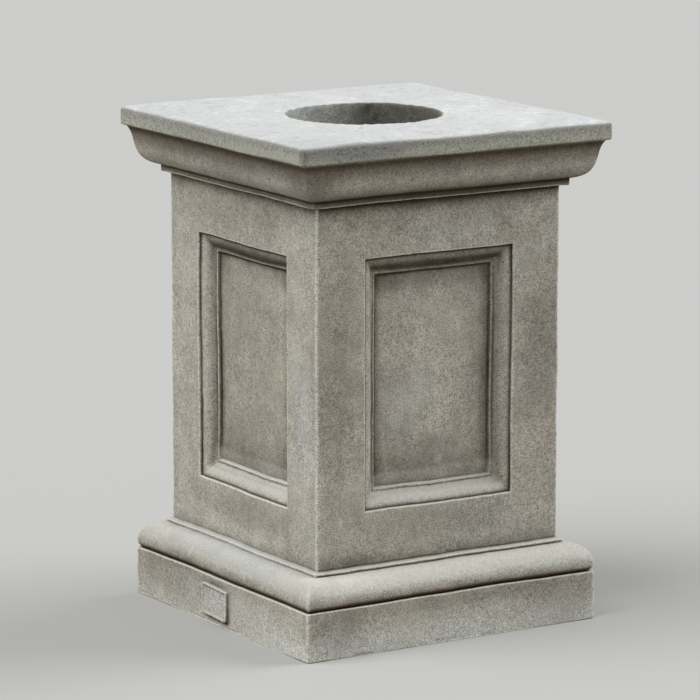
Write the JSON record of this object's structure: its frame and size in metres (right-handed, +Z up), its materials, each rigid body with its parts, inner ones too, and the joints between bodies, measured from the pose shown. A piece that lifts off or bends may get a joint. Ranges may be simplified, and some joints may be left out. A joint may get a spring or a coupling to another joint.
{
  "type": "pedestal",
  "caption": "Square cast-stone garden pedestal with moulded cap and base, a sunk moulded panel on each side, hollow, with a round hole in its top.",
  "frame": {"origin": "on the ground, under the middle of the plinth", "axes": "+Z up; the small tablet is on the -X side of the plinth, and the four sides face -X, +X, -Y and +Y"},
  "size_m": [0.4316, 0.4316, 0.6096],
  "materials": {
    "cast_stone": "matte"
  },
  "bodies": {
    "root": {"pedestal": "cast_stone"}
  },
  "joints": []
}
